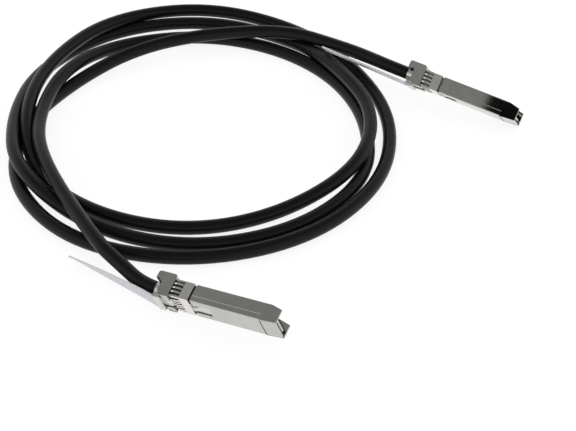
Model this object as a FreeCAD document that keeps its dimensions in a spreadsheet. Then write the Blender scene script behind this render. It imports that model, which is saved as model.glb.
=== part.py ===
import FreeCAD, Part
import math
import os
import Sketcher

# A direct attach copper cable: two small form factor plugs, each a two-part
# die-cast housing with a spring-fingered shielding collar, a rocker latch and a
# flexible pull tab, joined by about two metres of round twinaxial cable that
# lies in three and a half loose turns.
#
# Plug frame: X runs from the mating tip to the cable, Z from the latch side
# (bottom) to the top, Y across the width. The bottom face is Z = 0.

Vec = FreeCAD.Vector
Placement = FreeCAD.Placement
Rotation = FreeCAD.Rotation

SIZES = [
    # housing
    ("body_width", 13.4),
    ("body_height", 8.5),
    ("body_end", 42.3),             # where the shells stop ahead of the collar
    ("side_wall", 0.7),
    ("top_wall", 0.8),
    ("parting_height", 2.6),        # seam between the two shells
    ("mouth_bottom", 8.2),          # opening below the card, from the tip
    ("mouth_top", 5.8),             # opening above the card, from the tip
    ("tip_low", 0.55),              # skirts narrow to this height at the tip
    ("tip_high", 7.05),
    ("edge_round", 0.45),
    ("seam_bevel", 0.22),           # along the seam of the shells
    # neck under the collar
    ("neck_inset", 0.8),
    ("gap_width", 1.2),
    ("seat_length", 3.0),
    # nose block and wing at the cable end
    ("nose_start", 53.2),
    ("nose_width", 13.9),
    ("nose_drop", 0.9),
    ("nose_relief", 57.2),          # the latch slider's lug passes behind here
    ("nose_low_end", 59.2),
    ("wing_end", 62.6),
    ("wing_bottom", 6.8),
    ("wing_top", 10.5),
    ("wing_round", 1.2),
    # inside
    ("end_wall", 0.8),
    ("plateau_lead", 1.8),          # raised floor ahead of the latch pocket
    ("plateau_height", 3.15),
    ("rear_wall", 1.7),
    ("rear_cavity_end", 56.6),
    ("rear_cavity_top", 6.9),
    ("fit_gap", 0.05),
    ("overcut", 1.0),               # of a cut past the face it opens
    # paddle card
    ("card_front", 0.9),
    ("card_clearance", 0.3),        # to the side walls of the tray
    ("card_stop", 1.0),             # from the card's end to the plateau
    ("card_bottom", 2.25),
    ("card_thickness", 1.0),
    ("card_tongue_width", 9.2),
    ("card_bevel", 0.3),
    ("pad_pitch", 0.8),
    ("pad_width", 0.55),
    ("pad_length", 3.2),
    ("pad_thickness", 0.05),
    # shielding collar
    ("collar_thickness", 0.25),
    ("finger_band", 1.6),           # plain band between the seat and the fingers
    ("finger_end_gap", 0.2),
    ("finger_width", 0.8),
    ("finger_pitch", 2.0),
    ("finger_bow", 0.45),
    ("finger_rise", 1.5),
    ("finger_fall", 1.3),
    ("finger_root", 0.2),
    ("corner_wide", 1.3),
    ("corner_low", 0.65),
    # latch
    ("latch_slot_width", 6.3),
    ("pocket_lead", 1.2),           # from the pocket's front to the pivot
    ("pocket_reach", 4.7),          # from the body's end to the pocket's back
    ("latch_pocket_depth", 2.7),
    ("channel_depth", 1.2),
    ("side_clearance", 0.15),
    ("lever_arm", 7.0),             # from the pivot to the boss's shoulder
    ("pivot_height", 1.1),
    ("pin_diameter", 0.8),
    ("pin_grip", 1.0),
    ("pin_clearance", 0.04),
    ("lever_bottom", 0.45),
    ("lever_top", 2.05),
    ("lever_nose", 0.8),
    ("lever_step", 0.6),            # from the boss's shoulder to the slanted tail
    ("lever_overlap", 3.3),         # of the tail past the slider's front
    ("lever_tail_width", 4.2),
    ("lever_tail_tip", 1.35),
    ("boss_length", 2.6),
    ("boss_setback", 0.3),          # of the shoulder from the body's end
    ("boss_width", 2.6),
    ("boss_height", 0.42),
    ("boss_lap", 0.1),
    # latch slider
    ("slider_lead", 0.7),           # from the body's end to the slider's bar
    ("slider_bar", 0.8),
    ("slider_bottom", 0.30),
    ("slider_top", 1.15),
    ("slider_low_top", 0.35),
    ("slider_low_bottom", -0.45),
    ("slider_rail", 0.7),
    ("slider_travel", 2.5),
    ("slider_slope", 0.8),
    ("cam_slope", 0.30),
    ("cam_gap", 0.06),
    ("spring_slot_lead", 0.8),
    ("spring_slot_length", 4.6),
    ("spring_slot_width", 2.6),
    ("spring_strip", 0.3),
    ("spring_height", 0.5),
    ("spring_lift", 0.15),
    ("spring_foot_gap", 0.1),
    ("spring_side_gap", 0.2),
    ("spring_hook", 0.8),
    ("lug_front", 57.6),
    ("lug_end", 61.2),
    ("lug_width", 11.0),
    ("lug_drop", 2.3),
    ("lug_round", 0.9),
    # pull tab
    ("tab_root", 58.2),
    ("tab_flex_start", 61.5),
    ("tab_end", 112.0),
    ("tab_width", 9.0),
    ("tab_end_width", 7.0),
    ("tab_thickness", 0.9),
    ("tab_top", -0.8),
    # cable entry
    ("cable_diameter", 6.5),
    ("axis_height", 4.25),
    ("ferrule_wall", 0.45),
    ("ferrule_end", 62.9),
    ("pair_diameter", 2.1),
    ("pair_spacing", 3.2),
    ("pair_lap", 3.5),              # of each pair over the card
    ("lead_a", 14.0),               # straight cable out of each plug
    ("lead_b", 16.0),
    # shell screws
    ("screw_place", 57.9),
    ("screw_spacing", 10.6),
    ("screw_diameter", 1.4),
    ("screw_head", 2.4),
    ("screw_head_height", 0.9),
    ("screw_sink", 0.3),
    ("screw_tip", 1.2),
    ("screw_socket", 1.1),
]

PADS_PER_FACE = 10
WIDE_FINGERS = 5
NARROW_FINGERS = 3
TAB_STATIONS = 6
TAB_BEND_POWER = 0.9           # below one: the tab bends most at its root

doc = FreeCAD.newDocument("direct_attach_cable")
sheet = doc.addObject("Spreadsheet::Sheet", "sizes")


class Size:
    """A size from the sheet, or sums of them: its number and its formula."""

    def __init__(self, number, formula):
        self.number = float(number)
        self.formula = formula

    @staticmethod
    def of(value):
        return value if isinstance(value, Size) else Size(value, repr(float(value)))

    def __add__(self, other):
        other = Size.of(other)
        return Size(self.number + other.number, f"({self.formula} + {other.formula})")

    def __sub__(self, other):
        other = Size.of(other)
        return Size(self.number - other.number, f"({self.formula} - {other.formula})")

    def __mul__(self, other):
        other = Size.of(other)
        return Size(self.number * other.number, f"({self.formula} * {other.formula})")

    def __truediv__(self, other):
        other = Size.of(other)
        return Size(self.number / other.number, f"({self.formula} / {other.formula})")

    def __neg__(self):
        return Size(-self.number, f"(-1 * {self.formula})")

    def __radd__(self, other):
        return Size.of(other) + self

    def __rsub__(self, other):
        return Size.of(other) - self

    def __rmul__(self, other):
        return Size.of(other) * self


class Sizes:
    """The sheet's aliases as attributes."""


s = Sizes()
for row, (alias, value) in enumerate(SIZES, start=1):
    sheet.set(f"A{row}", alias)
    sheet.set(f"B{row}", str(value))
    sheet.setAlias(f"B{row}", alias)
    setattr(s, alias, Size(value, f"sizes.{alias}"))
doc.recompute()

half_width = s.body_width / 2
inner_half = half_width - s.side_wall
collar_start = s.body_end + s.gap_width
seat_end = collar_start + s.seat_length
finger_start = seat_end + s.finger_band
finger_end = s.nose_start - s.finger_end_gap
rear_half = half_width - s.rear_wall
front_cavity_end = s.body_end - s.end_wall
boss_shoulder = s.body_end - s.boss_setback
boss_front = boss_shoulder - s.boss_length
pivot_place = boss_shoulder - s.lever_arm
latch_pocket_start = pivot_place - s.pocket_lead
latch_pocket_end = s.body_end + s.pocket_reach
plateau_start = latch_pocket_start - s.plateau_lead
card_end = plateau_start - s.card_stop
card_width = 2 * (inner_half - s.card_clearance)
pair_start = card_end - s.pair_lap
slider_front = s.body_end + s.slider_lead
lever_neck = boss_shoulder + s.lever_step
lever_tail_end = slider_front + s.lever_overlap
spring_slot_start = latch_pocket_end + s.spring_slot_lead
spring_slot_end = spring_slot_start + s.spring_slot_length
ferrule_diameter = s.cable_diameter + 2 * s.ferrule_wall


# ---------------------------------------------------------------- features

def new_body(name, plug):
    body = doc.addObject("PartDesign::Body", f"{name}_{plug.letter}")
    body.Placement = plug.placement
    return body


def origin_feature(body, role):
    return next(f for f in body.Origin.OriginFeatures if f.Role == role)


def sketch_on(body, plane, height=0.0):
    sketch = body.newObject("Sketcher::SketchObject", "Sketch")
    sketch.AttachmentSupport = (origin_feature(body, plane), [""])
    sketch.MapMode = "FlatFace"
    sketch.setExpression("AttachmentOffset.Base.z", Size.of(height).formula)
    return sketch


def place_point(sketch, geometry, point, x, y):
    """Ties a point of the sketch to the origin by two bound distances."""
    for kind, value in (("DistanceX", Size.of(x)), ("DistanceY", Size.of(y))):
        number = sketch.addConstraint(
            Sketcher.Constraint(kind, -1, 1, geometry, point, value.number))
        sketch.setExpression(f"Constraints[{number}]", value.formula)


def outline(sketch, points):
    """A closed outline through bound corner points."""
    corners = [(Size.of(x), Size.of(y)) for x, y in points]
    spots = [Vec(x.number, y.number, 0) for x, y in corners]
    first = sketch.GeometryCount
    count = len(spots)
    for i in range(count):
        sketch.addGeometry(Part.LineSegment(spots[i], spots[(i + 1) % count]))
    for i in range(count):
        after = first + (i + 1) % count
        sketch.addConstraint(Sketcher.Constraint("Coincident", first + i, 2, after, 1))
        place_point(sketch, first + i, 1, *corners[i])


def rectangle(sketch, x0, x1, y0, y1):
    outline(sketch, [(x0, y0), (x1, y0), (x1, y1), (x0, y1)])


def circle(sketch, x, y, diameter):
    x, y, diameter = Size.of(x), Size.of(y), Size.of(diameter)
    shape = Part.Circle(Vec(x.number, y.number, 0), Vec(0, 0, 1), diameter.number / 2)
    index = sketch.addGeometry(shape)
    place_point(sketch, index, 3, x, y)
    number = sketch.addConstraint(
        Sketcher.Constraint("Diameter", index, diameter.number))
    sketch.setExpression(f"Constraints[{number}]", diameter.formula)


def pad(body, sketch, length, symmetric=False):
    feature = body.newObject("PartDesign::Pad", "Pad")
    feature.Profile = sketch
    feature.setExpression("Length", Size.of(length).formula)
    if symmetric:
        feature.SideType = "Symmetric"
    return feature


def pocket(body, sketch, length, symmetric=False):
    feature = body.newObject("PartDesign::Pocket", "Pocket")
    feature.Profile = sketch
    feature.setExpression("Length", Size.of(length).formula)
    if symmetric:
        feature.SideType = "Symmetric"
    return feature


def add_box(body, x0, x1, y0, y1, z0, z1):
    sketch = sketch_on(body, "XY_Plane", z0)
    rectangle(sketch, x0, x1, y0, y1)
    return pad(body, sketch, Size.of(z1) - z0)


def cut_box(body, x0, x1, y0, y1, z0, z1):
    sketch = sketch_on(body, "XY_Plane", z1)
    rectangle(sketch, x0, x1, y0, y1)
    return pocket(body, sketch, Size.of(z1) - z0)


def add_profile(body, points, width):
    """A side view in X and Z, spread evenly across the width."""
    sketch = sketch_on(body, "XZ_Plane")
    outline(sketch, points)
    return pad(body, sketch, width, symmetric=True)


def pattern(body, feature, axis, length, count):
    row = body.newObject("PartDesign::LinearPattern", "Row")
    row.Originals = [feature]
    row.Direction = (origin_feature(body, axis), [""])
    row.setExpression("Length", Size.of(length).formula)
    row.Occurrences = count
    body.Tip = row
    return row


def straight_edges(body, wanted):
    """The body's last shape, and its edges whose middle and direction are wanted."""
    doc.recompute()
    base = body.Tip
    names = []
    for number, edge in enumerate(base.Shape.Edges, start=1):
        if edge.Curve.TypeId != "Part::GeomLine":
            continue
        middle = (edge.Vertexes[0].Point + edge.Vertexes[-1].Point) / 2
        along = (edge.Vertexes[-1].Point - edge.Vertexes[0].Point).normalize()
        if wanted(middle, along):
            names.append(f"Edge{number}")
    return base, names


def round_edges(body, radius, wanted):
    edges = straight_edges(body, wanted)
    feature = body.newObject("PartDesign::Fillet", "Fillet")
    feature.Base = edges
    feature.setExpression("Radius", Size.of(radius).formula)
    return feature


def bevel_edges(body, width, wanted):
    edges = straight_edges(body, wanted)
    feature = body.newObject("PartDesign::Chamfer", "Chamfer")
    feature.Base = edges
    feature.setExpression("Size", Size.of(width).formula)
    return feature


def near(a, b):
    return abs(a - Size.of(b).number) < 1e-3


# ------------------------------------------------------------ plug housing

def bevel_seam(body):
    """Broken edge along the seam on both narrow sides, ahead of the collar."""
    bevel_edges(body, s.seam_bevel, lambda m, d:
                abs(d.x) > 0.99 and near(m.z, s.parting_height)
                and near(abs(m.y), half_width) and m.x < s.body_end.number)


def neck_notches(body):
    """Waist at both sides of a shell: the dark gap, the collar's seat and the
    deep part under its fingers."""
    deep = half_width - s.neck_inset
    seat = half_width - s.collar_thickness
    sketch = sketch_on(body, "XY_Plane")
    for side in (1, -1):
        outline(sketch, [
            (s.body_end, side * deep), (collar_start, side * deep),
            (collar_start, side * seat), (seat_end, side * seat),
            (seat_end, side * deep), (s.nose_start, side * deep),
            (s.nose_start, side * (half_width + s.overcut)),
            (s.body_end, side * (half_width + s.overcut))])
    pocket(body, sketch, 4 * s.body_height, symmetric=True)


def cable_bore(body):
    sketch = sketch_on(body, "YZ_Plane", s.ferrule_end)
    circle(sketch, 0, s.axis_height, ferrule_diameter)
    pocket(body, sketch, s.ferrule_end - s.rear_cavity_end)


def screw_holes(body, top, head_bottom):
    """Holes for the two shell screws, with a seat for each head if it has one."""
    for side in (1, -1):
        sketch = sketch_on(body, "XY_Plane", top)
        circle(sketch, s.screw_place, side * s.screw_spacing / 2, s.screw_diameter)
        pocket(body, sketch, Size.of(top) - s.screw_tip)
        if head_bottom is not None:
            sketch = sketch_on(body, "XY_Plane", top)
            circle(sketch, s.screw_place, side * s.screw_spacing / 2,
                   s.screw_head + 2 * s.fit_gap)
            pocket(body, sketch, Size.of(top) - head_bottom)


head_seat = s.wing_top - s.screw_sink - s.screw_head_height


def lower_shell(plug):
    """Latch-side die casting: tray under the card, plateau over the latch
    pocket, waist for the collar and the lower half of the nose block."""
    body = new_body("lower_shell", plug)
    inset = s.neck_inset
    seat = s.collar_thickness
    add_profile(body, [
        (s.mouth_bottom, 0), (s.body_end, 0), (s.body_end, inset),
        (collar_start, inset), (collar_start, seat), (seat_end, seat),
        (seat_end, inset), (s.nose_start, inset), (s.nose_start, s.parting_height),
        (s.mouth_bottom, s.parting_height)], s.body_width)
    add_profile(body, [
        (s.nose_start, -s.nose_drop), (s.nose_relief, -s.nose_drop),
        (s.nose_relief, s.slider_low_top + 2 * s.fit_gap),
        (s.nose_low_end, s.slider_low_top + 2 * s.fit_gap),
        (s.nose_low_end, s.axis_height), (s.nose_start, s.axis_height)], s.nose_width)
    neck_notches(body)
    add_box(body, plateau_start, s.nose_start, -rear_half, rear_half,
            s.parting_height, s.plateau_height)
    cut_box(body, s.mouth_bottom - s.overcut, plateau_start, -inner_half, inner_half,
            s.card_bottom, s.parting_height + s.overcut)
    cut_box(body, s.nose_start, s.rear_cavity_end, -rear_half, rear_half,
            s.plateau_height, s.axis_height + s.overcut)
    half_slot = s.latch_slot_width / 2
    cut_box(body, latch_pocket_start, latch_pocket_end, -half_slot, half_slot,
            -s.overcut, s.latch_pocket_depth)
    cut_box(body, latch_pocket_end, s.rear_cavity_end, -half_slot, half_slot,
            -s.nose_drop - s.overcut, s.channel_depth)
    cut_box(body, s.rear_cavity_end, s.nose_low_end + s.overcut, -half_slot, half_slot,
            -s.nose_drop - s.overcut, s.slider_low_top + 2 * s.fit_gap)
    pin = sketch_on(body, "XZ_Plane")
    circle(pin, pivot_place, s.pivot_height, s.pin_diameter)
    pocket(body, pin, s.latch_slot_width + 2 * s.pin_grip, symmetric=True)
    cable_bore(body)
    screw_holes(body, s.axis_height, None)
    round_edges(body, s.edge_round, lambda m, d:
                abs(d.x) > 0.99 and near(m.z, 0) and near(abs(m.y), half_width))
    bevel_seam(body)
    return body


def upper_shell(plug):
    """Top die casting: roof and side walls, the two skirts that guard the card
    at the tip, and the upper nose block with the overhanging wing."""
    body = new_body("upper_shell", plug)
    roof = s.body_height
    low = roof - s.neck_inset
    seat = roof - s.collar_thickness
    add_profile(body, [
        (0, s.tip_low), (s.mouth_bottom, 0), (s.mouth_bottom, s.parting_height),
        (s.nose_start, s.parting_height), (s.nose_start, low), (seat_end, low),
        (seat_end, seat), (collar_start, seat), (collar_start, low),
        (s.body_end, low), (s.body_end, roof), (s.mouth_top, roof),
        (0, s.tip_high)], s.body_width)
    add_profile(body, [
        (s.nose_start, s.axis_height), (s.nose_low_end, s.axis_height),
        (s.nose_low_end, s.wing_bottom), (s.wing_end, s.wing_bottom),
        (s.wing_end, s.wing_top), (s.nose_start, s.wing_top)], s.nose_width)
    neck_notches(body)
    cut_box(body, -s.overcut, front_cavity_end, -inner_half, inner_half,
            -s.overcut, roof - s.top_wall)
    cut_box(body, -s.overcut, s.mouth_top, -inner_half, inner_half,
            0, roof + s.overcut)
    rear = rear_half + s.fit_gap
    cut_box(body, front_cavity_end, s.rear_cavity_end, -rear, rear,
            0, s.rear_cavity_top)
    cable_bore(body)
    screw_holes(body, s.wing_top, head_seat)
    round_edges(body, s.wing_round, lambda m, d:
                abs(d.y) > 0.99 and near(m.z, s.wing_top)
                and (near(m.x, s.nose_start) or near(m.x, s.wing_end)))
    round_edges(body, s.edge_round, lambda m, d:
                abs(d.x) > 0.99 and near(abs(m.y), half_width) and near(m.z, roof)
                and m.x < s.body_end.number)
    bevel_seam(body)
    return body


def shell_screw(plug, side, name):
    """One of the two socket-head screws that clamp the shells on the cable."""
    body = new_body(f"shell_screw_{name}", plug)
    y = side * s.screw_spacing / 2
    shank = sketch_on(body, "XY_Plane", s.screw_tip)
    circle(shank, s.screw_place, y, s.screw_diameter)
    pad(body, shank, head_seat - s.screw_tip)
    head = sketch_on(body, "XY_Plane", head_seat)
    circle(head, s.screw_place, y, s.screw_head)
    pad(body, head, s.screw_head_height)
    socket = sketch_on(body, "XY_Plane", head_seat + s.screw_head_height)
    outline(socket, [
        (s.screw_place + s.screw_socket / 2 * round(math.cos(k * math.pi / 3), 4),
         y + s.screw_socket / 2 * round(math.sin(k * math.pi / 3), 4)) for k in range(6)])
    pocket(body, socket, s.screw_head_height / 2)
    return body


# --------------------------------------------------------- shielding collar

def emi_collar(plug):
    """Sprung steel sleeve on the waist: a plain band, then bowed contact
    fingers on all four sides between stiff corner angles."""
    body = new_body("emi_collar", plug)
    skin = s.collar_thickness
    roof = s.body_height
    sleeve = sketch_on(body, "YZ_Plane", collar_start)
    rectangle(sleeve, -half_width, half_width, 0, roof)
    rectangle(sleeve, skin - half_width, half_width - skin, skin, roof - skin)
    pad(body, sleeve, finger_end - collar_start)
    open_half = half_width - s.corner_wide
    past_end = finger_end + s.overcut
    past_side = half_width + s.overcut
    cut_box(body, finger_start, past_end, -open_half, open_half,
            -s.overcut, roof + s.overcut)
    cut_box(body, finger_start, past_end, -past_side, past_side,
            s.corner_low, roof - s.corner_low)

    def finger(surface, outward):
        """Side view of one finger on a wall: rise, crown and fall."""
        rise = finger_start + s.finger_rise
        fall = finger_end - s.finger_fall
        crown = surface + outward * s.finger_bow
        wall = outward * skin
        root = finger_start - s.finger_root
        return [(root, surface), (finger_start, surface), (rise, crown), (fall, crown),
                (finger_end, surface), (finger_end, surface - wall), (fall, crown - wall),
                (rise, crown - wall), (finger_start, surface - wall),
                (root, surface - wall)]

    wide_row = (WIDE_FINGERS - 1) * s.finger_pitch
    fingers = sketch_on(body, "XZ_Plane", wide_row / 2 - s.finger_width / 2)
    outline(fingers, finger(roof, 1))
    outline(fingers, finger(Size.of(0), -1))
    one = pad(body, fingers, s.finger_width)
    pattern(body, one, "Y_Axis", wide_row, WIDE_FINGERS)
    narrow_row = (NARROW_FINGERS - 1) * s.finger_pitch
    fingers = sketch_on(body, "XY_Plane",
                        roof / 2 - narrow_row / 2 - s.finger_width / 2)
    outline(fingers, finger(half_width, 1))
    outline(fingers, finger(-half_width, -1))
    one = pad(body, fingers, s.finger_width)
    pattern(body, one, "Z_Axis", narrow_row, NARROW_FINGERS)
    return body


# --------------------------------------------------------------- electrics

def paddle_card(plug):
    """Circuit board: a narrow tongue at the tip and a wider part in the tray."""
    body = new_body("paddle_card", plug)
    tongue = s.card_tongue_width / 2
    wide = card_width / 2
    bevel = s.card_bevel
    front = s.card_front
    shoulder = s.mouth_bottom
    board = sketch_on(body, "XY_Plane", s.card_bottom)
    outline(board, [
        (front, bevel - tongue), (front + bevel, -tongue), (shoulder, -tongue),
        (shoulder, -wide), (card_end, -wide), (card_end, wide), (shoulder, wide),
        (shoulder, tongue), (front + bevel, tongue), (front, tongue - bevel)])
    pad(body, board, s.card_thickness)
    return body


def contact_pads(plug):
    """Gold pads in a row on each face of the card's tongue."""
    pads = doc.addObject("Part::Feature", f"contact_pads_{plug.letter}")
    thick = s.pad_thickness.number
    start = s.card_front.number + s.card_bevel.number
    pieces = []
    for level in (s.card_bottom.number - thick,
                  s.card_bottom.number + s.card_thickness.number):
        for k in range(PADS_PER_FACE):
            row_place = (k - (PADS_PER_FACE - 1) / 2) * s.pad_pitch.number
            y = row_place - s.pad_width.number / 2
            pieces.append(Part.makeBox(s.pad_length.number, s.pad_width.number, thick,
                                       Vec(start, y, level)))
    pads.Shape = Part.makeCompound(pieces)
    pads.Placement = plug.placement
    return pads


def twinax_pair(plug, side, name):
    """Shielded pair from the cable's core to the back of the card."""
    pair = doc.addObject("Part::Cylinder", f"{name}_pair_{plug.letter}")
    pair.setExpression("Radius", (s.pair_diameter / 2).formula)
    pair.setExpression("Height", (s.rear_cavity_end - pair_start).formula)
    lie = s.card_bottom + s.card_thickness + s.pair_diameter / 2
    spot = Vec(pair_start.number, side * s.pair_spacing.number / 2, lie.number)
    pair.Placement = plug.placement.multiply(Placement(spot, Rotation(Vec(0, 1, 0), 90)))
    return pair


# ------------------------------------------------------------------- latch

cam_contact = slider_front + s.slider_bar


def cam_height(place):
    """Underside of the lever's tail, which the slider's bar lifts."""
    return s.slider_top + s.cam_gap - s.cam_slope * (place - cam_contact)


def latch_lever(plug):
    """Rocker with the wedge boss that locks behind the cage's spring, and a
    slanted tail over the slider's bar."""
    body = new_body("latch_lever", plug)
    front = pivot_place - s.lever_nose
    width = s.latch_slot_width - 2 * s.side_clearance
    add_profile(body, [
        (front, s.lever_bottom), (lever_neck, s.lever_bottom),
        (lever_neck, s.lever_top), (front, s.lever_top)], width)
    add_profile(body, [
        (lever_neck - s.overcut, cam_height(lever_neck)),
        (lever_neck, cam_height(lever_neck)),
        (lever_tail_end, cam_height(lever_tail_end)),
        (lever_tail_end, s.lever_tail_tip), (lever_neck, s.lever_top),
        (lever_neck - s.overcut, s.lever_top)], s.lever_tail_width)
    add_profile(body, [
        (boss_front, s.lever_bottom + s.boss_lap), (boss_front, s.lever_bottom),
        (boss_shoulder, -s.boss_height), (boss_shoulder, s.lever_bottom + s.boss_lap)],
        s.boss_width)
    eye = sketch_on(body, "XZ_Plane")
    circle(eye, pivot_place, s.pivot_height, s.pin_diameter + 2 * s.pin_clearance)
    pocket(body, eye, 2 * s.latch_slot_width, symmetric=True)
    return body


def latch_pin(plug):
    """Pivot of the rocker, pressed into the lower shell."""
    body = new_body("latch_pin", plug)
    sketch = sketch_on(body, "XZ_Plane")
    circle(sketch, pivot_place, s.pivot_height, s.pin_diameter)
    pad(body, sketch, s.latch_slot_width + 2 * s.pin_grip, symmetric=True)
    return body


def pull_slider(plug):
    """Sliding actuator: crossbar and rails round the lever's tail, a plate in
    the channel and the rounded lug outside that holds the pull tab."""
    body = new_body("pull_slider", plug)
    width = s.latch_slot_width - 2 * s.side_clearance
    half = width / 2
    add_box(body, slider_front, s.nose_start, -half, half, s.slider_bottom, s.slider_top)
    add_profile(body, [
        (s.nose_start, s.slider_bottom),
        (s.nose_start + s.slider_slope, s.slider_low_bottom),
        (s.lug_front, s.slider_low_bottom), (s.lug_front, s.slider_low_top),
        (s.nose_start + s.slider_slope, s.slider_low_top),
        (s.nose_start, s.slider_top)], width)
    window = half - s.slider_rail
    cut_box(body, cam_contact, latch_pocket_end, -window, window,
            s.slider_bottom - s.overcut, s.slider_top)
    slot = s.spring_slot_width / 2
    cut_box(body, spring_slot_start, spring_slot_end, -slot, slot,
            s.slider_bottom - s.overcut, s.slider_top)
    lug = s.lug_width / 2
    add_box(body, s.lug_front, s.lug_end, -lug, lug, -s.lug_drop, s.slider_low_top)
    round_edges(body, s.lug_round, lambda m, d:
                near(m.z, -s.lug_drop) and (abs(d.x) > 0.99 or abs(d.y) > 0.99))
    grip = s.tab_width / 2
    cut_box(body, s.tab_root, s.lug_end + s.overcut, -grip, grip,
            s.tab_top - s.tab_thickness, s.tab_top)
    return body


def return_spring(plug):
    """Leaf that draws the slider home, hooked between the shell and the slot."""
    body = new_body("return_spring", plug)
    foot = spring_slot_start + s.slider_travel + s.spring_foot_gap
    end = spring_slot_end
    middle = (foot + end) / 2
    reach = s.spring_slot_width / 2 - s.spring_side_gap
    strip = s.spring_strip
    floor = s.slider_bottom + s.spring_lift
    leaf = sketch_on(body, "XY_Plane", floor)
    outline(leaf, [
        (foot, -reach), (foot + strip, -reach), (middle, reach - 2 * strip),
        (end - strip, -reach), (end, -reach), (middle + strip / 2, reach),
        (middle - strip / 2, reach)])
    pad(body, leaf, s.spring_height)
    add_box(body, foot, foot + strip, -reach, s.spring_hook - reach,
            floor, s.channel_depth)
    return body


def pull_tab(plug):
    """Flexible strip that is pulled to free the plug. Its free length may bend
    and turn a little."""
    body = new_body("pull_tab", plug)
    half = s.tab_width / 2
    floor = s.tab_top - s.tab_thickness
    add_box(body, s.tab_root, s.tab_flex_start, -half, half, floor, s.tab_top)
    sections = []
    for k in range(TAB_STATIONS + 1):
        share = k / TAB_STATIONS
        sketch = sketch_on(body, "YZ_Plane",
                           s.tab_flex_start + share * (s.tab_end - s.tab_flex_start))
        turn = plug.tab_turn * share * share
        lift = plug.tab_lift * share ** TAB_BEND_POWER
        edge = half - share * (s.tab_width - s.tab_end_width) / 2
        sketch.AttachmentOffset = Placement(Vec(0, lift, 0), Rotation(Vec(0, 0, 1), turn))
        rectangle(sketch, -edge, edge, floor, s.tab_top)
        sections.append(sketch)
    loft = body.newObject("PartDesign::AdditiveLoft", "Loft")
    loft.Profile = sections[0]
    loft.Sections = sections[1:]
    return body


# ------------------------------------------------------------- cable entry

def cable_ferrule(plug):
    """Crimped sleeve on the jacket, clamped by the nose and seen under the wing."""
    body = new_body("cable_ferrule", plug)
    sketch = sketch_on(body, "YZ_Plane", s.rear_cavity_end)
    circle(sketch, 0, s.axis_height, ferrule_diameter)
    circle(sketch, 0, s.axis_height, s.cable_diameter)
    pad(body, sketch, s.ferrule_end - s.rear_cavity_end)
    return body


# ------------------------------------------------------------------- plugs

class Plug:
    """One end of the cable: its letter, where its tip lies, how it is turned,
    and how its pull tab hangs."""

    def __init__(self, letter, tip, heading, rise, roll, tab_lift, tab_turn):
        self.letter = letter
        turn = Rotation(heading + 180, rise, 90 - roll)
        self.placement = Placement(Vec(*tip), turn)
        self.tab_lift = tab_lift
        self.tab_turn = tab_turn

    def world(self, x, y, z):
        return self.placement.multVec(Vec(x, y, z))


PLUGS = [
    Plug("a", (-14.2, -111.2, 12.95), -28.4, 6.2, 22.0, 9.8, -20.0),
    Plug("b", (105.0, 54.6, 4.3), -29.9, -5.2, 45.7, 1.6, 0.0),
]

pieces = []
for plug in PLUGS:
    pieces += [
        lower_shell(plug), upper_shell(plug), paddle_card(plug), contact_pads(plug),
        emi_collar(plug), latch_lever(plug), latch_pin(plug), pull_slider(plug),
        return_spring(plug), pull_tab(plug), cable_ferrule(plug),
        shell_screw(plug, 1, "left"), shell_screw(plug, -1, "right"),
        twinax_pair(plug, 1, "tx"), twinax_pair(plug, -1, "rx")]


# ------------------------------------------------------------------- cable

diameter = s.cable_diameter.number
BEND_SHARE = 0.45


def rounded_route(points):
    """Edges of straight runs joined by an arc at each point between the ends.
    Each arc takes a little less than half of the shorter run beside it."""
    edges = []
    start = points[0]
    for before, corner, after in zip(points, points[1:], points[2:]):
        come = corner - before
        leave = after - corner
        reach = BEND_SHARE * min(come.Length, leave.Length)
        come.normalize()
        leave.normalize()
        half_turn = come.getAngle(leave) / 2
        radius = reach / math.tan(half_turn)
        entry = corner - come * reach
        leaving = corner + leave * reach
        inward = (leave - come).normalize()
        middle = corner + inward * (radius / math.cos(half_turn) - radius)
        edges.append(Part.LineSegment(start, entry).toShape())
        edges.append(Part.Arc(entry, middle, leaving).toShape())
        start = leaving
    edges.append(Part.LineSegment(start, points[-1]).toShape())
    return edges


def tube(name, points):
    """Round cable along straight runs joined by tangent arcs."""
    points = [Vec(*p) for p in points]
    path = Part.Wire(rounded_route(points))
    first = points[1] - points[0]
    section = Part.Wire(Part.makeCircle(diameter / 2, points[0], first))
    solid = path.makePipeShell([section], True, False)
    feature = doc.addObject("Part::Feature", name)
    feature.Shape = solid
    share = solid.Volume / (path.Length * math.pi * diameter ** 2 / 4)
    print(f"{name}: length {path.Length:.1f}, volume share {share:.4f}")
    return feature


# Distance of the cable from the coil's centre at each twelfth of a turn, going
# clockwise round from the lower left: three and a half loose, uneven turns.
COIL_CENTRE = (-55.6, 57.0)
COIL_START = 150
COIL_STEP = 30
COIL_RADII = [83, 80, 85, 88, 80, 79, 79, 83, 92, 96, 98, 95,
              95, 94, 98, 101, 95, 89, 81, 86, 86, 82, 85, 86,
              85, 87, 91, 105, 112, 101, 94, 96, 100, 104, 107, 107,
              98, 87, 75, 72, 74, 86]
COIL_LAYERS = 1.4               # height of the turns in cable diameters
COIL_SHOULDER = 0.6             # bevel of their outer edges in cable diameters


def coil_outline(pick, margin):
    """Closed outline of the turns, outermost or innermost at each twelfth."""
    steps = round(360 / COIL_STEP)
    widen = 1 / math.cos(math.radians(COIL_STEP / 2))
    corners = []
    for step in range(steps):
        reach = (pick(COIL_RADII[step::steps]) + margin) * widen
        turn = -math.radians(COIL_START + COIL_STEP * step)
        corners.append(Vec(COIL_CENTRE[0] + reach * math.cos(turn),
                           COIL_CENTRE[1] + reach * math.sin(turn), 0))
    seam = (corners[-1] + corners[0]) / 2
    return Part.Wire(rounded_route([seam] + corners + [seam]))


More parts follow.
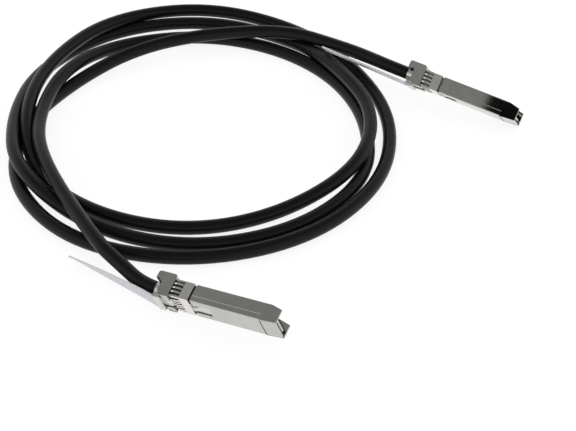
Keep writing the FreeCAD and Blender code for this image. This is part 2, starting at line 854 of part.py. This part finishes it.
def cable_coil():
    """Outer shape of the loose coil, one to two strands high, with the sloping
    shoulders of its outermost and innermost turns."""
    ring = Part.Face([coil_outline(max, diameter / 2)])
    hole = Part.Face([coil_outline(min, -diameter / 2)])
    height = Vec(0, 0, COIL_LAYERS * diameter)
    solid = ring.extrude(height).cut(hole.extrude(height))
    shoulders = [edge for edge in solid.Edges
                 if edge.BoundBox.ZMin > height.z - s.fit_gap.number]
    feature = doc.addObject("Part::Feature", "cable_coil")
    feature.Shape = solid.makeChamfer(COIL_SHOULDER * diameter, shoulders)
    return feature


def plug_exit(plug, reach):
    """Point on a plug's cable axis."""
    return plug.world(s.rear_cavity_end.number + reach, 0, s.axis_height.number)


TAIL_A = [plug_exit(PLUGS[0], 0), plug_exit(PLUGS[0], s.lead_a.number),
          (-87.1, -60.5, 8.9),
          (-98.1, -46.0, 9.3)]
TAIL_B = [(18.9, 116.0, 11.0), (30.9, 106.0, 12.4),
          plug_exit(PLUGS[1], s.lead_b.number),
          plug_exit(PLUGS[1], 0)]
pieces += [tube("cable_tail_a", TAIL_A), cable_coil(), tube("cable_tail_b", TAIL_B)]

# ------------------------------------------------------------------ export

doc.recompute()
for item in doc.Objects:
    if "Invalid" in item.State or "Error" in item.State:
        raise RuntimeError(f"{item.Name} did not build: {item.State}")
os.makedirs("parts", exist_ok=True)
for piece in pieces:
    shape = piece.Shape
    if shape.isNull() or not shape.isValid():
        raise RuntimeError(f"{piece.Name} has no valid shape")
    piece.Label = piece.Name
    shape.exportStep(f"parts/{piece.Label}.step")
    box = shape.BoundBox
    print(f"{piece.Label}: volume {shape.Volume:.2f}, solids {len(shape.Solids)}, "
          f"z {box.ZMin:.2f} to {box.ZMax:.2f}")
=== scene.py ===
"""Direct attach copper cable: about two metres of black twin-axial cable, lying in a
loose coil, with a die-cast plug on each end. Each plug has a shielding collar of
spring fingers, a rocker latch and a pull tab that frees it from its port."""
import math

import bpy
from mathutils import Euler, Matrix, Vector


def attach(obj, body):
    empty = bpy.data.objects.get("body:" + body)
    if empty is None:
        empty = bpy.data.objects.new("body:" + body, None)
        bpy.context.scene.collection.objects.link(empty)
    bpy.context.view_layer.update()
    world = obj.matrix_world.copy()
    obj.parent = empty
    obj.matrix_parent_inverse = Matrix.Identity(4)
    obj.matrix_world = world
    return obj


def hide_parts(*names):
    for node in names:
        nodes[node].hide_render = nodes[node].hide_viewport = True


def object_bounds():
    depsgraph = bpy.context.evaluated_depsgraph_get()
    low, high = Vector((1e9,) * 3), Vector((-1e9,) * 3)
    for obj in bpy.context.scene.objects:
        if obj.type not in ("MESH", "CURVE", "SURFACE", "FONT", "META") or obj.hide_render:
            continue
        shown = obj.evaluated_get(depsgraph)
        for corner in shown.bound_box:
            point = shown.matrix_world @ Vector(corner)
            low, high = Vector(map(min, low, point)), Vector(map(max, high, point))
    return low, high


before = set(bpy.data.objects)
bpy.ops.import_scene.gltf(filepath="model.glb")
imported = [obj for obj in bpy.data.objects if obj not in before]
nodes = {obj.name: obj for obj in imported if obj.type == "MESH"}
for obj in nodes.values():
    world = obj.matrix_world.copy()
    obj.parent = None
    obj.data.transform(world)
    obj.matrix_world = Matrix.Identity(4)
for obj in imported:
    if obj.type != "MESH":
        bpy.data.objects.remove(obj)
cad_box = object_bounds()
scene = bpy.context.scene

# ---------------------------------------------------------------- plug shells
# Lower and upper shell of each plug: zinc die castings with a bright nickel plating,
# clamped together by two screws at the cable end. The flat faces are slightly cloudy
# and rubbed. Narrow slots and inner corners are painted dark as shade, where other
# faces close them in.
NICKEL = (0.52, 0.52, 0.49)
CLOUDED_NICKEL = (0.47, 0.47, 0.44)
# Painted shade: the colour given to slots and inner corners that other faces close in.
PAINTED_SLOT_SHADE = (0.03, 0.03, 0.028)
PAINTED_SHADE_REACH = 0.003               # how far from a face another one still darkens it
CASTING_GRAIN_DEPTH = 0.0000008


class Wire:
    """Output of a shader node. Sums written with it become Math nodes."""

    def __init__(self, finish, socket):
        self.finish = finish
        self.socket = socket

    def _math(self, operation, first, second):
        return self.finish.node("Math", {"operation": operation}, {0: first, 1: second})

    def __add__(self, other):
        return self._math("ADD", self, other)

    def __radd__(self, other):
        return self._math("ADD", other, self)

    def __sub__(self, other):
        return self._math("SUBTRACT", self, other)

    def __rsub__(self, other):
        return self._math("SUBTRACT", other, self)

    def __mul__(self, other):
        return self._math("MULTIPLY", self, other)

    def __rmul__(self, other):
        return self._math("MULTIPLY", other, self)

    def rise(self, low, high):
        """0 below low, 1 above high, with a smooth rise between them."""
        return self.finish.node(
            "MapRange", {"interpolation_type": "SMOOTHSTEP"},
            {"Value": self, "From Min": low, "From Max": high}, out="Result")


class Finish:
    """A material with a Principled shader, whose fixed values are set on it."""

    def __init__(self, name, **surface):
        self.material = bpy.data.materials.new(name)
        self.material.use_nodes = True
        self.tree = self.material.node_tree
        self.shader = self.tree.nodes["Principled BSDF"]
        self.paint(**surface)

    def _feed(self, socket, value):
        if isinstance(value, Wire):
            self.tree.links.new(value.socket, socket)
        elif socket.type == "RGBA":
            socket.default_value = (*value, 1)
        else:
            socket.default_value = value

    def node(self, kind, settings, sockets, out=0):
        """Adds a node, with its settings first and then what its sockets hold. Sockets
        and the output that it gives go by name or by number."""
        made = self.tree.nodes.new("ShaderNode" + kind)
        for setting, value in settings.items():
            if setting == "stops":
                ramp = made.color_ramp.elements
                while len(ramp) < len(value):
                    ramp.new(1)
                for stop, (place, colour) in zip(ramp, value):
                    stop.position = place
                    stop.color = (*colour, 1)
            else:
                setattr(made, setting, value)
        for socket, value in sockets.items():
            self._feed(made.inputs[socket], value)
        return Wire(self, made.outputs[out])

    def paint(self, **surface):
        """Sets or links the shader's own sockets, with _ for a space in a name."""
        for name, value in surface.items():
            self._feed(self.shader.inputs[name.replace("_", " ")], value)

    def noise(self, size, detail):
        """Noise from 0 to 1, whose grains are about size metres across."""
        place = self.node("TexCoord", {}, {}, out="Object")
        return self.node("TexNoise", {}, {"Vector": place, "Scale": 1 / size, "Detail": detail},
                         out="Fac")

    def blend(self, share, low, high):
        """Colour from low to high as share goes from 0 to 1. The colour sockets go by
        number, because the node's value and vector sockets have the same names."""
        return self.node("Mix", {"data_type": "RGBA"}, {0: share, 6: low, 7: high}, out=2)

    def relief(self, height, depth):
        """Normal of a surface with that height, from 0 to 1, times depth in metres."""
        return self.node("Bump", {}, {"Height": height, "Distance": depth, "Strength": 1.0})

    def ray(self, kind):
        """1 for light rays of that kind, and 0 for the others."""
        return self.node("LightPath", {}, {}, out=f"Is {kind} Ray")


def dress(finish, slot, *names):
    """Gives the CAD nodes of those names a finish, on both plugs. The slot argument is not used.
    """
    for name in names:
        for letter in "ab":
            piece = nodes[f"{name}_{letter}"]
            piece.data.materials.clear()
            piece.data.materials.append(finish.material)


plating = Finish("nickel_plating", Metallic=1.0)
cloud = plating.noise(0.006, detail=4)
grain = plating.noise(0.00035, detail=2)
rub = plating.noise(0.0022, detail=3)
# Painted shade: ambient occlusion darkens the plating in slots, grooves and inner corners.
unshaded_share = plating.node("AmbientOcclusion", {"samples": 8}, {"Distance": PAINTED_SHADE_REACH},
                          out="AO")
open_face = plating.blend(cloud.rise(0.3, 0.7), CLOUDED_NICKEL, NICKEL)
plating.paint(
    Base_Color=plating.blend(unshaded_share.rise(0.42, 0.75), PAINTED_SLOT_SHADE, open_face),
    Roughness=0.02 + 0.012 * cloud + 0.03 * rub.rise(0.6, 0.85),
    Normal=plating.relief(grain, CASTING_GRAIN_DEPTH))
dress(plating, "shell_metal", "lower_shell", "upper_shell")

# ---------------------------------------------------------------- guard plates
# Thin plated plate across each plug's mouth, which guards the card's edge. It lies
# level with the sloping lower edges of the skirts, and its inner edge stops a hair's
# breadth ahead of the lower shell.
MM = 0.001
PLATE_SIDE = [(0.25, 0.55), (7.75, 0.03), (7.75, 0.53), (0.25, 1.05)]   # along and up, in mm
PLATE_HALF_WIDTH = 5.9


class End:
    """Frame of a plug: along it from its tip, across it, and up from its latch face.
    Places are in metres, and the plug's turns are in degrees."""

    def __init__(self, tip, heading, rise, roll):
        self.tip = Vector(tip)
        turn = Euler([math.radians(angle) for angle in (90 - roll, rise, heading + 180)])
        self.turn = turn.to_matrix()

    def point(self, along, across, up):
        return self.tip + self.turn @ Vector((along, across, up))


ENDS = {
    "a": End((-0.0142, -0.1112, 0.01295), heading=-28.4, rise=6.2, roll=22.0),
    "b": End((0.1050, 0.0546, 0.0043), heading=-29.9, rise=-5.2, roll=45.7),
}

for letter, end in ENDS.items():
    plate_mesh = bpy.data.meshes.new("tip_plate")
    plate_mesh.from_pydata(
        [end.point(along * MM, across * MM, up * MM)
         for across in (-PLATE_HALF_WIDTH, PLATE_HALF_WIDTH) for along, up in PLATE_SIDE],
        [],
        [(0, 3, 2, 1), (4, 5, 6, 7)]
        + [(k, (k + 1) % 4, (k + 1) % 4 + 4, k + 4) for k in range(4)])
    plate_mesh.validate()
    plate_mesh.materials.append(plating.material)
    plate = bpy.data.objects.new(f"tip_plate_{letter}", plate_mesh)
    scene.collection.objects.link(plate)
    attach(plate, "base")

# ---------------------------------------------------------------- collars
# Sleeve of thin spring steel round the waist of each plug. Its bowed fingers press on
# the port's cage on all four sides and carry the shield through. The bright sheet is
# faintly mottled.
BRIGHT_SPRING_STEEL = (0.80, 0.78, 0.74)
MOTTLED_SPRING_STEEL = (0.70, 0.68, 0.64)

spring_steel = Finish("spring_steel", Metallic=1.0)
spring_mottle = spring_steel.noise(0.0008, detail=3)
spring_steel.paint(
    Base_Color=spring_steel.blend(spring_mottle, MOTTLED_SPRING_STEEL, BRIGHT_SPRING_STEEL),
    Roughness=0.14 + 0.12 * spring_mottle)
dress(spring_steel, "collar_steel", "emi_collar")

# ---------------------------------------------------------------- latches
# Rocker lever on its pressed-in pin, the slider that lifts the lever's tail, and the
# slider's return spring. They are bent sheet and drawn wire with a mottled plating,
# and sit in the lower shell.
BRIGHT_SHEET = (0.70, 0.69, 0.66)
MOTTLED_SHEET = (0.58, 0.57, 0.54)

plated_sheet = Finish("plated_sheet", Metallic=1.0)
sheet_mottle = plated_sheet.noise(0.0007, detail=3)
plated_sheet.paint(
    Base_Color=plated_sheet.blend(sheet_mottle, MOTTLED_SHEET, BRIGHT_SHEET),
    Roughness=0.22 + 0.12 * sheet_mottle)
dress(plated_sheet, "latch_steel", "latch_lever", "latch_pin", "pull_slider", "return_spring")

# ---------------------------------------------------------------- ferrules and screws
# Sleeve crimped on each end of the cable, and the two screws of each plug that clamp
# the shells on it. They have the same plating as the latch.
dress(plated_sheet, "latch_steel", "cable_ferrule", "shell_screw_left", "shell_screw_right")

# ---------------------------------------------------------------- paddle cards
# Small circuit board between the shells, under a pale solder mask. Its two rows of
# gold-plated contact pads enter the port's socket.
solder_mask = Finish("solder_mask", Base_Color=(0.62, 0.61, 0.52), Roughness=0.4)
dress(solder_mask, "card", "paddle_card")
contact_gold = Finish("contact_gold", Metallic=1.0, Base_Color=(0.90, 0.62, 0.22), Roughness=0.2)
dress(contact_gold, "gold", "contact_pads")

# ---------------------------------------------------------------- shielded pairs
# The cable's transmit pair and receive pair inside each plug, wrapped in foil. They
# run from the ferrule to the card.
pair_skin = Finish("pair_skin", Base_Color=(0.6, 0.6, 0.62), Roughness=0.4)
dress(pair_skin, "wire_skin", "tx_pair", "rx_pair")

# ---------------------------------------------------------------- pull tabs
# Flexible strip of translucent film, fixed to the slider's lug, that lies beside the
# cable. A pull on it draws the slider and frees the latch.
tab_film = Finish("tab_film", Base_Color=(0.74, 0.73, 0.78), Roughness=0.35,
                  Transmission_Weight=0.25, IOR=1.45)
dress(tab_film, "tab_film", "pull_tab")

# ---------------------------------------------------------------- cable
# Twin-axial cable: shielded pairs under a smooth black jacket, 6.8 mm thick and
# rather stiff. It leaves plug a, makes three and a half loose turns that fan out
# and cross each other, and goes back into plug b.
THICK = 0.0068
CRIMPED = 0.955                  # share of the thickness inside the ferrules
JACKET_START = 0.0566            # along a plug, from its tip
AXIS_HEIGHT = 0.00425            # above a plug's latch face
STRAIGHT_A, STRAIGHT_B = 0.014, 0.016           # straight stretch behind each plug
TAIL_A = [Vector((-0.0861, -0.0614, 0.0096)), Vector((-0.0976, -0.0490, 0.0120))]
TAIL_B = [Vector((0.0189, 0.1144, 0.0127)), Vector((0.0309, 0.1051, 0.0131))]
COIL_CENTRE = (-0.0556, 0.0570)
COIL_START = 150                 # bearing of the coil's first point, in degrees
COIL_STEP = 30
# Distance from the centre and height of the axis at each step round the coil,
# clockwise from above, in millimetres: twelve steps a turn.
COIL_RADII = [83.8, 78.7, 80, 86, 82.2, 79, 79, 83, 93.5, 97.5, 98.5, 95,
              97, 91.5, 98, 101, 98, 90, 79, 86.4, 89.5, 83.5, 86, 86,
              88, 85.8, 90, 101.6, 112.2, 101.2, 93, 95.5, 101, 105.5, 107.5, 108,
              100, 86, 75, 71.6, 72.6, 85.5]
COIL_HEIGHTS = [13.2, 10.0, 11.4, 3.5, 3.5, 3.5, 3.5, 3.5, 3.5, 3.5, 3.5, 3.5,
                12.0, 8.6, 3.5, 3.5, 3.5, 3.5, 11.8, 10.6, 10.2, 3.5, 3.5, 3.5,
                4.2, 11.6, 12.2, 10.6, 3.5, 3.5, 3.5, 3.5, 3.5, 3.5, 3.5, 3.5,
                3.5, 3.5, 3.5, 7.7, 10.4, 12.0]
OUTWARD = 1 / math.cos(math.radians(COIL_STEP / 2))    # the curve passes inside its points


def on_axis(letter, reach):
    """Point on the axis of a plug's cable, that far behind its entry into the plug."""
    return ENDS[letter].point(JACKET_START + reach, 0, AXIS_HEIGHT)


coil = []
for step, (radius, height) in enumerate(zip(COIL_RADII, COIL_HEIGHTS)):
    bearing = -math.radians(COIL_START + COIL_STEP * step)
    reach = radius * OUTWARD * MM
    coil.append(Vector((COIL_CENTRE[0] + reach * math.cos(bearing),
                        COIL_CENTRE[1] + reach * math.sin(bearing), height * MM)))
route = [on_axis("a", 0), on_axis("a", STRAIGHT_A), *TAIL_A, *coil,
         *TAIL_B, on_axis("b", STRAIGHT_B), on_axis("b", 0)]

line = bpy.data.curves.new("cable_jacket", "CURVE")
line.dimensions = "3D"
spline = line.splines.new("NURBS")
spline.points.add(len(route) - 1)
for knot, place in zip(spline.points, route):
    knot.co = (*place, 1)
for number in (0, 1, -2, -1):
    spline.points[number].radius = CRIMPED
spline.order_u = 3
spline.use_endpoint_u = True
spline.resolution_u = 10
line.bevel_depth = THICK / 2
line.bevel_resolution = 8
line.use_fill_caps = True
cable = bpy.data.objects.new("cable_jacket", line)
scene.collection.objects.link(cable)

jacket = Finish("black_jacket", Base_Color=(0.003, 0.003, 0.003), Specular_IOR_Level=0.18)
haze = jacket.noise(0.004, detail=3)
jacket.paint(Roughness=0.30 + 0.12 * haze)
line.materials.append(jacket.material)
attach(cable, "base")
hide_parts("cable_tail_a", "cable_coil", "cable_tail_b")
on_axis("a", 0)

# ---------------------------------------------------------------- studio
# A white paper floor lit evenly from all round. What shines sees white paper low down and
# round the horizon, a dim ceiling above, and one small dark screen.
FLOOR_HALF = 3.0
FLOOR_GAP = 0.0002               # keeps the floor just clear of what lies on it
PAPER_SHOWN = 0.87               # brightness of the paper, also in metal and film
PAPER_DIMMING = 0.35             # taken off it for the diffuse light that it throws
ROOM_LIGHT = (0.95, 0.95, 0.95)
SCREEN_DIRECTION = (-0.420, -0.456, 0.786)
SCREEN_RIM = (0.99896, 0.99900)  # cosine to that direction, outside and inside the rim
SCREEN_DARK = (0.008, 0.008, 0.008)

floor_mesh = bpy.data.meshes.new("studio_floor")
floor_mesh.from_pydata(
    [(-FLOOR_HALF, -FLOOR_HALF, 0), (FLOOR_HALF, -FLOOR_HALF, 0),
     (FLOOR_HALF, FLOOR_HALF, 0), (-FLOOR_HALF, FLOOR_HALF, 0)],
    [], [(0, 1, 2, 3)])
floor = bpy.data.objects.new("studio_floor", floor_mesh)
scene.collection.objects.link(floor)
floor.location.z = cad_box[0][2] - FLOOR_GAP
paper = Finish("white_paper", Base_Color=(0.16, 0.16, 0.16), Specular_IOR_Level=0.0,
               Emission_Color=(1, 1, 1))
paper.paint(Emission_Strength=PAPER_SHOWN - PAPER_DIMMING * paper.ray("Diffuse"))
floor_mesh.materials.append(paper.material)


class Sky(Finish):
    """Nodes of the world, whose colour depends on the direction looked at."""

    def __init__(self, name):
        self.world = bpy.data.worlds.new(name)
        self.world.use_nodes = True
        self.tree = self.world.node_tree
        self.shader = self.tree.nodes["Background"]

    def toward(self, direction):
        """Cosine between the direction looked at and a given one."""
        look = self.node("TexCoord", {}, {}, out="Generated")
        return self.node("VectorMath", {"operation": "DOT_PRODUCT"},
                         {0: look, 1: Vector(direction).normalized()}, out="Value")


sky = Sky("studio")
up = sky.toward((0, 0, 1))
ceiling = sky.node("ValToRGB", {"stops": [
    (0.0, (1.0, 1.0, 1.0)), (0.30, (1.0, 1.0, 1.0)), (0.57, (0.85, 0.85, 0.85)),
    (0.70, (0.36, 0.36, 0.36)), (1.0, (0.26, 0.26, 0.26))]}, {0: up}, out="Color")
screen = sky.toward(SCREEN_DIRECTION).rise(*SCREEN_RIM)
reflected = sky.blend(screen, ceiling, SCREEN_DARK)
sky.paint(Color=sky.blend(sky.ray("Glossy"), ROOM_LIGHT, reflected), Strength=1.0)
scene.world = sky.world

# ---------------------------------------------------------------- camera
# A long lens in front of the object and above it, three quarters of a metre away,
# which keeps both plugs and the whole coil in view.
TARGET = Vector((-0.0106, -0.0150, 0))
TILT = math.radians(38)          # below the horizon
DISTANCE = 0.745

camera = bpy.data.objects.new("camera", bpy.data.cameras.new("camera"))
camera.data.lens = 98.25
camera.data.sensor_width = 36
camera.location = TARGET + DISTANCE * Vector((0, -math.cos(TILT), math.sin(TILT)))
camera.rotation_euler = (math.pi / 2 - TILT, 0, 0)
scene.collection.objects.link(camera)
scene.camera = camera
scene.view_settings.view_transform = "Standard"
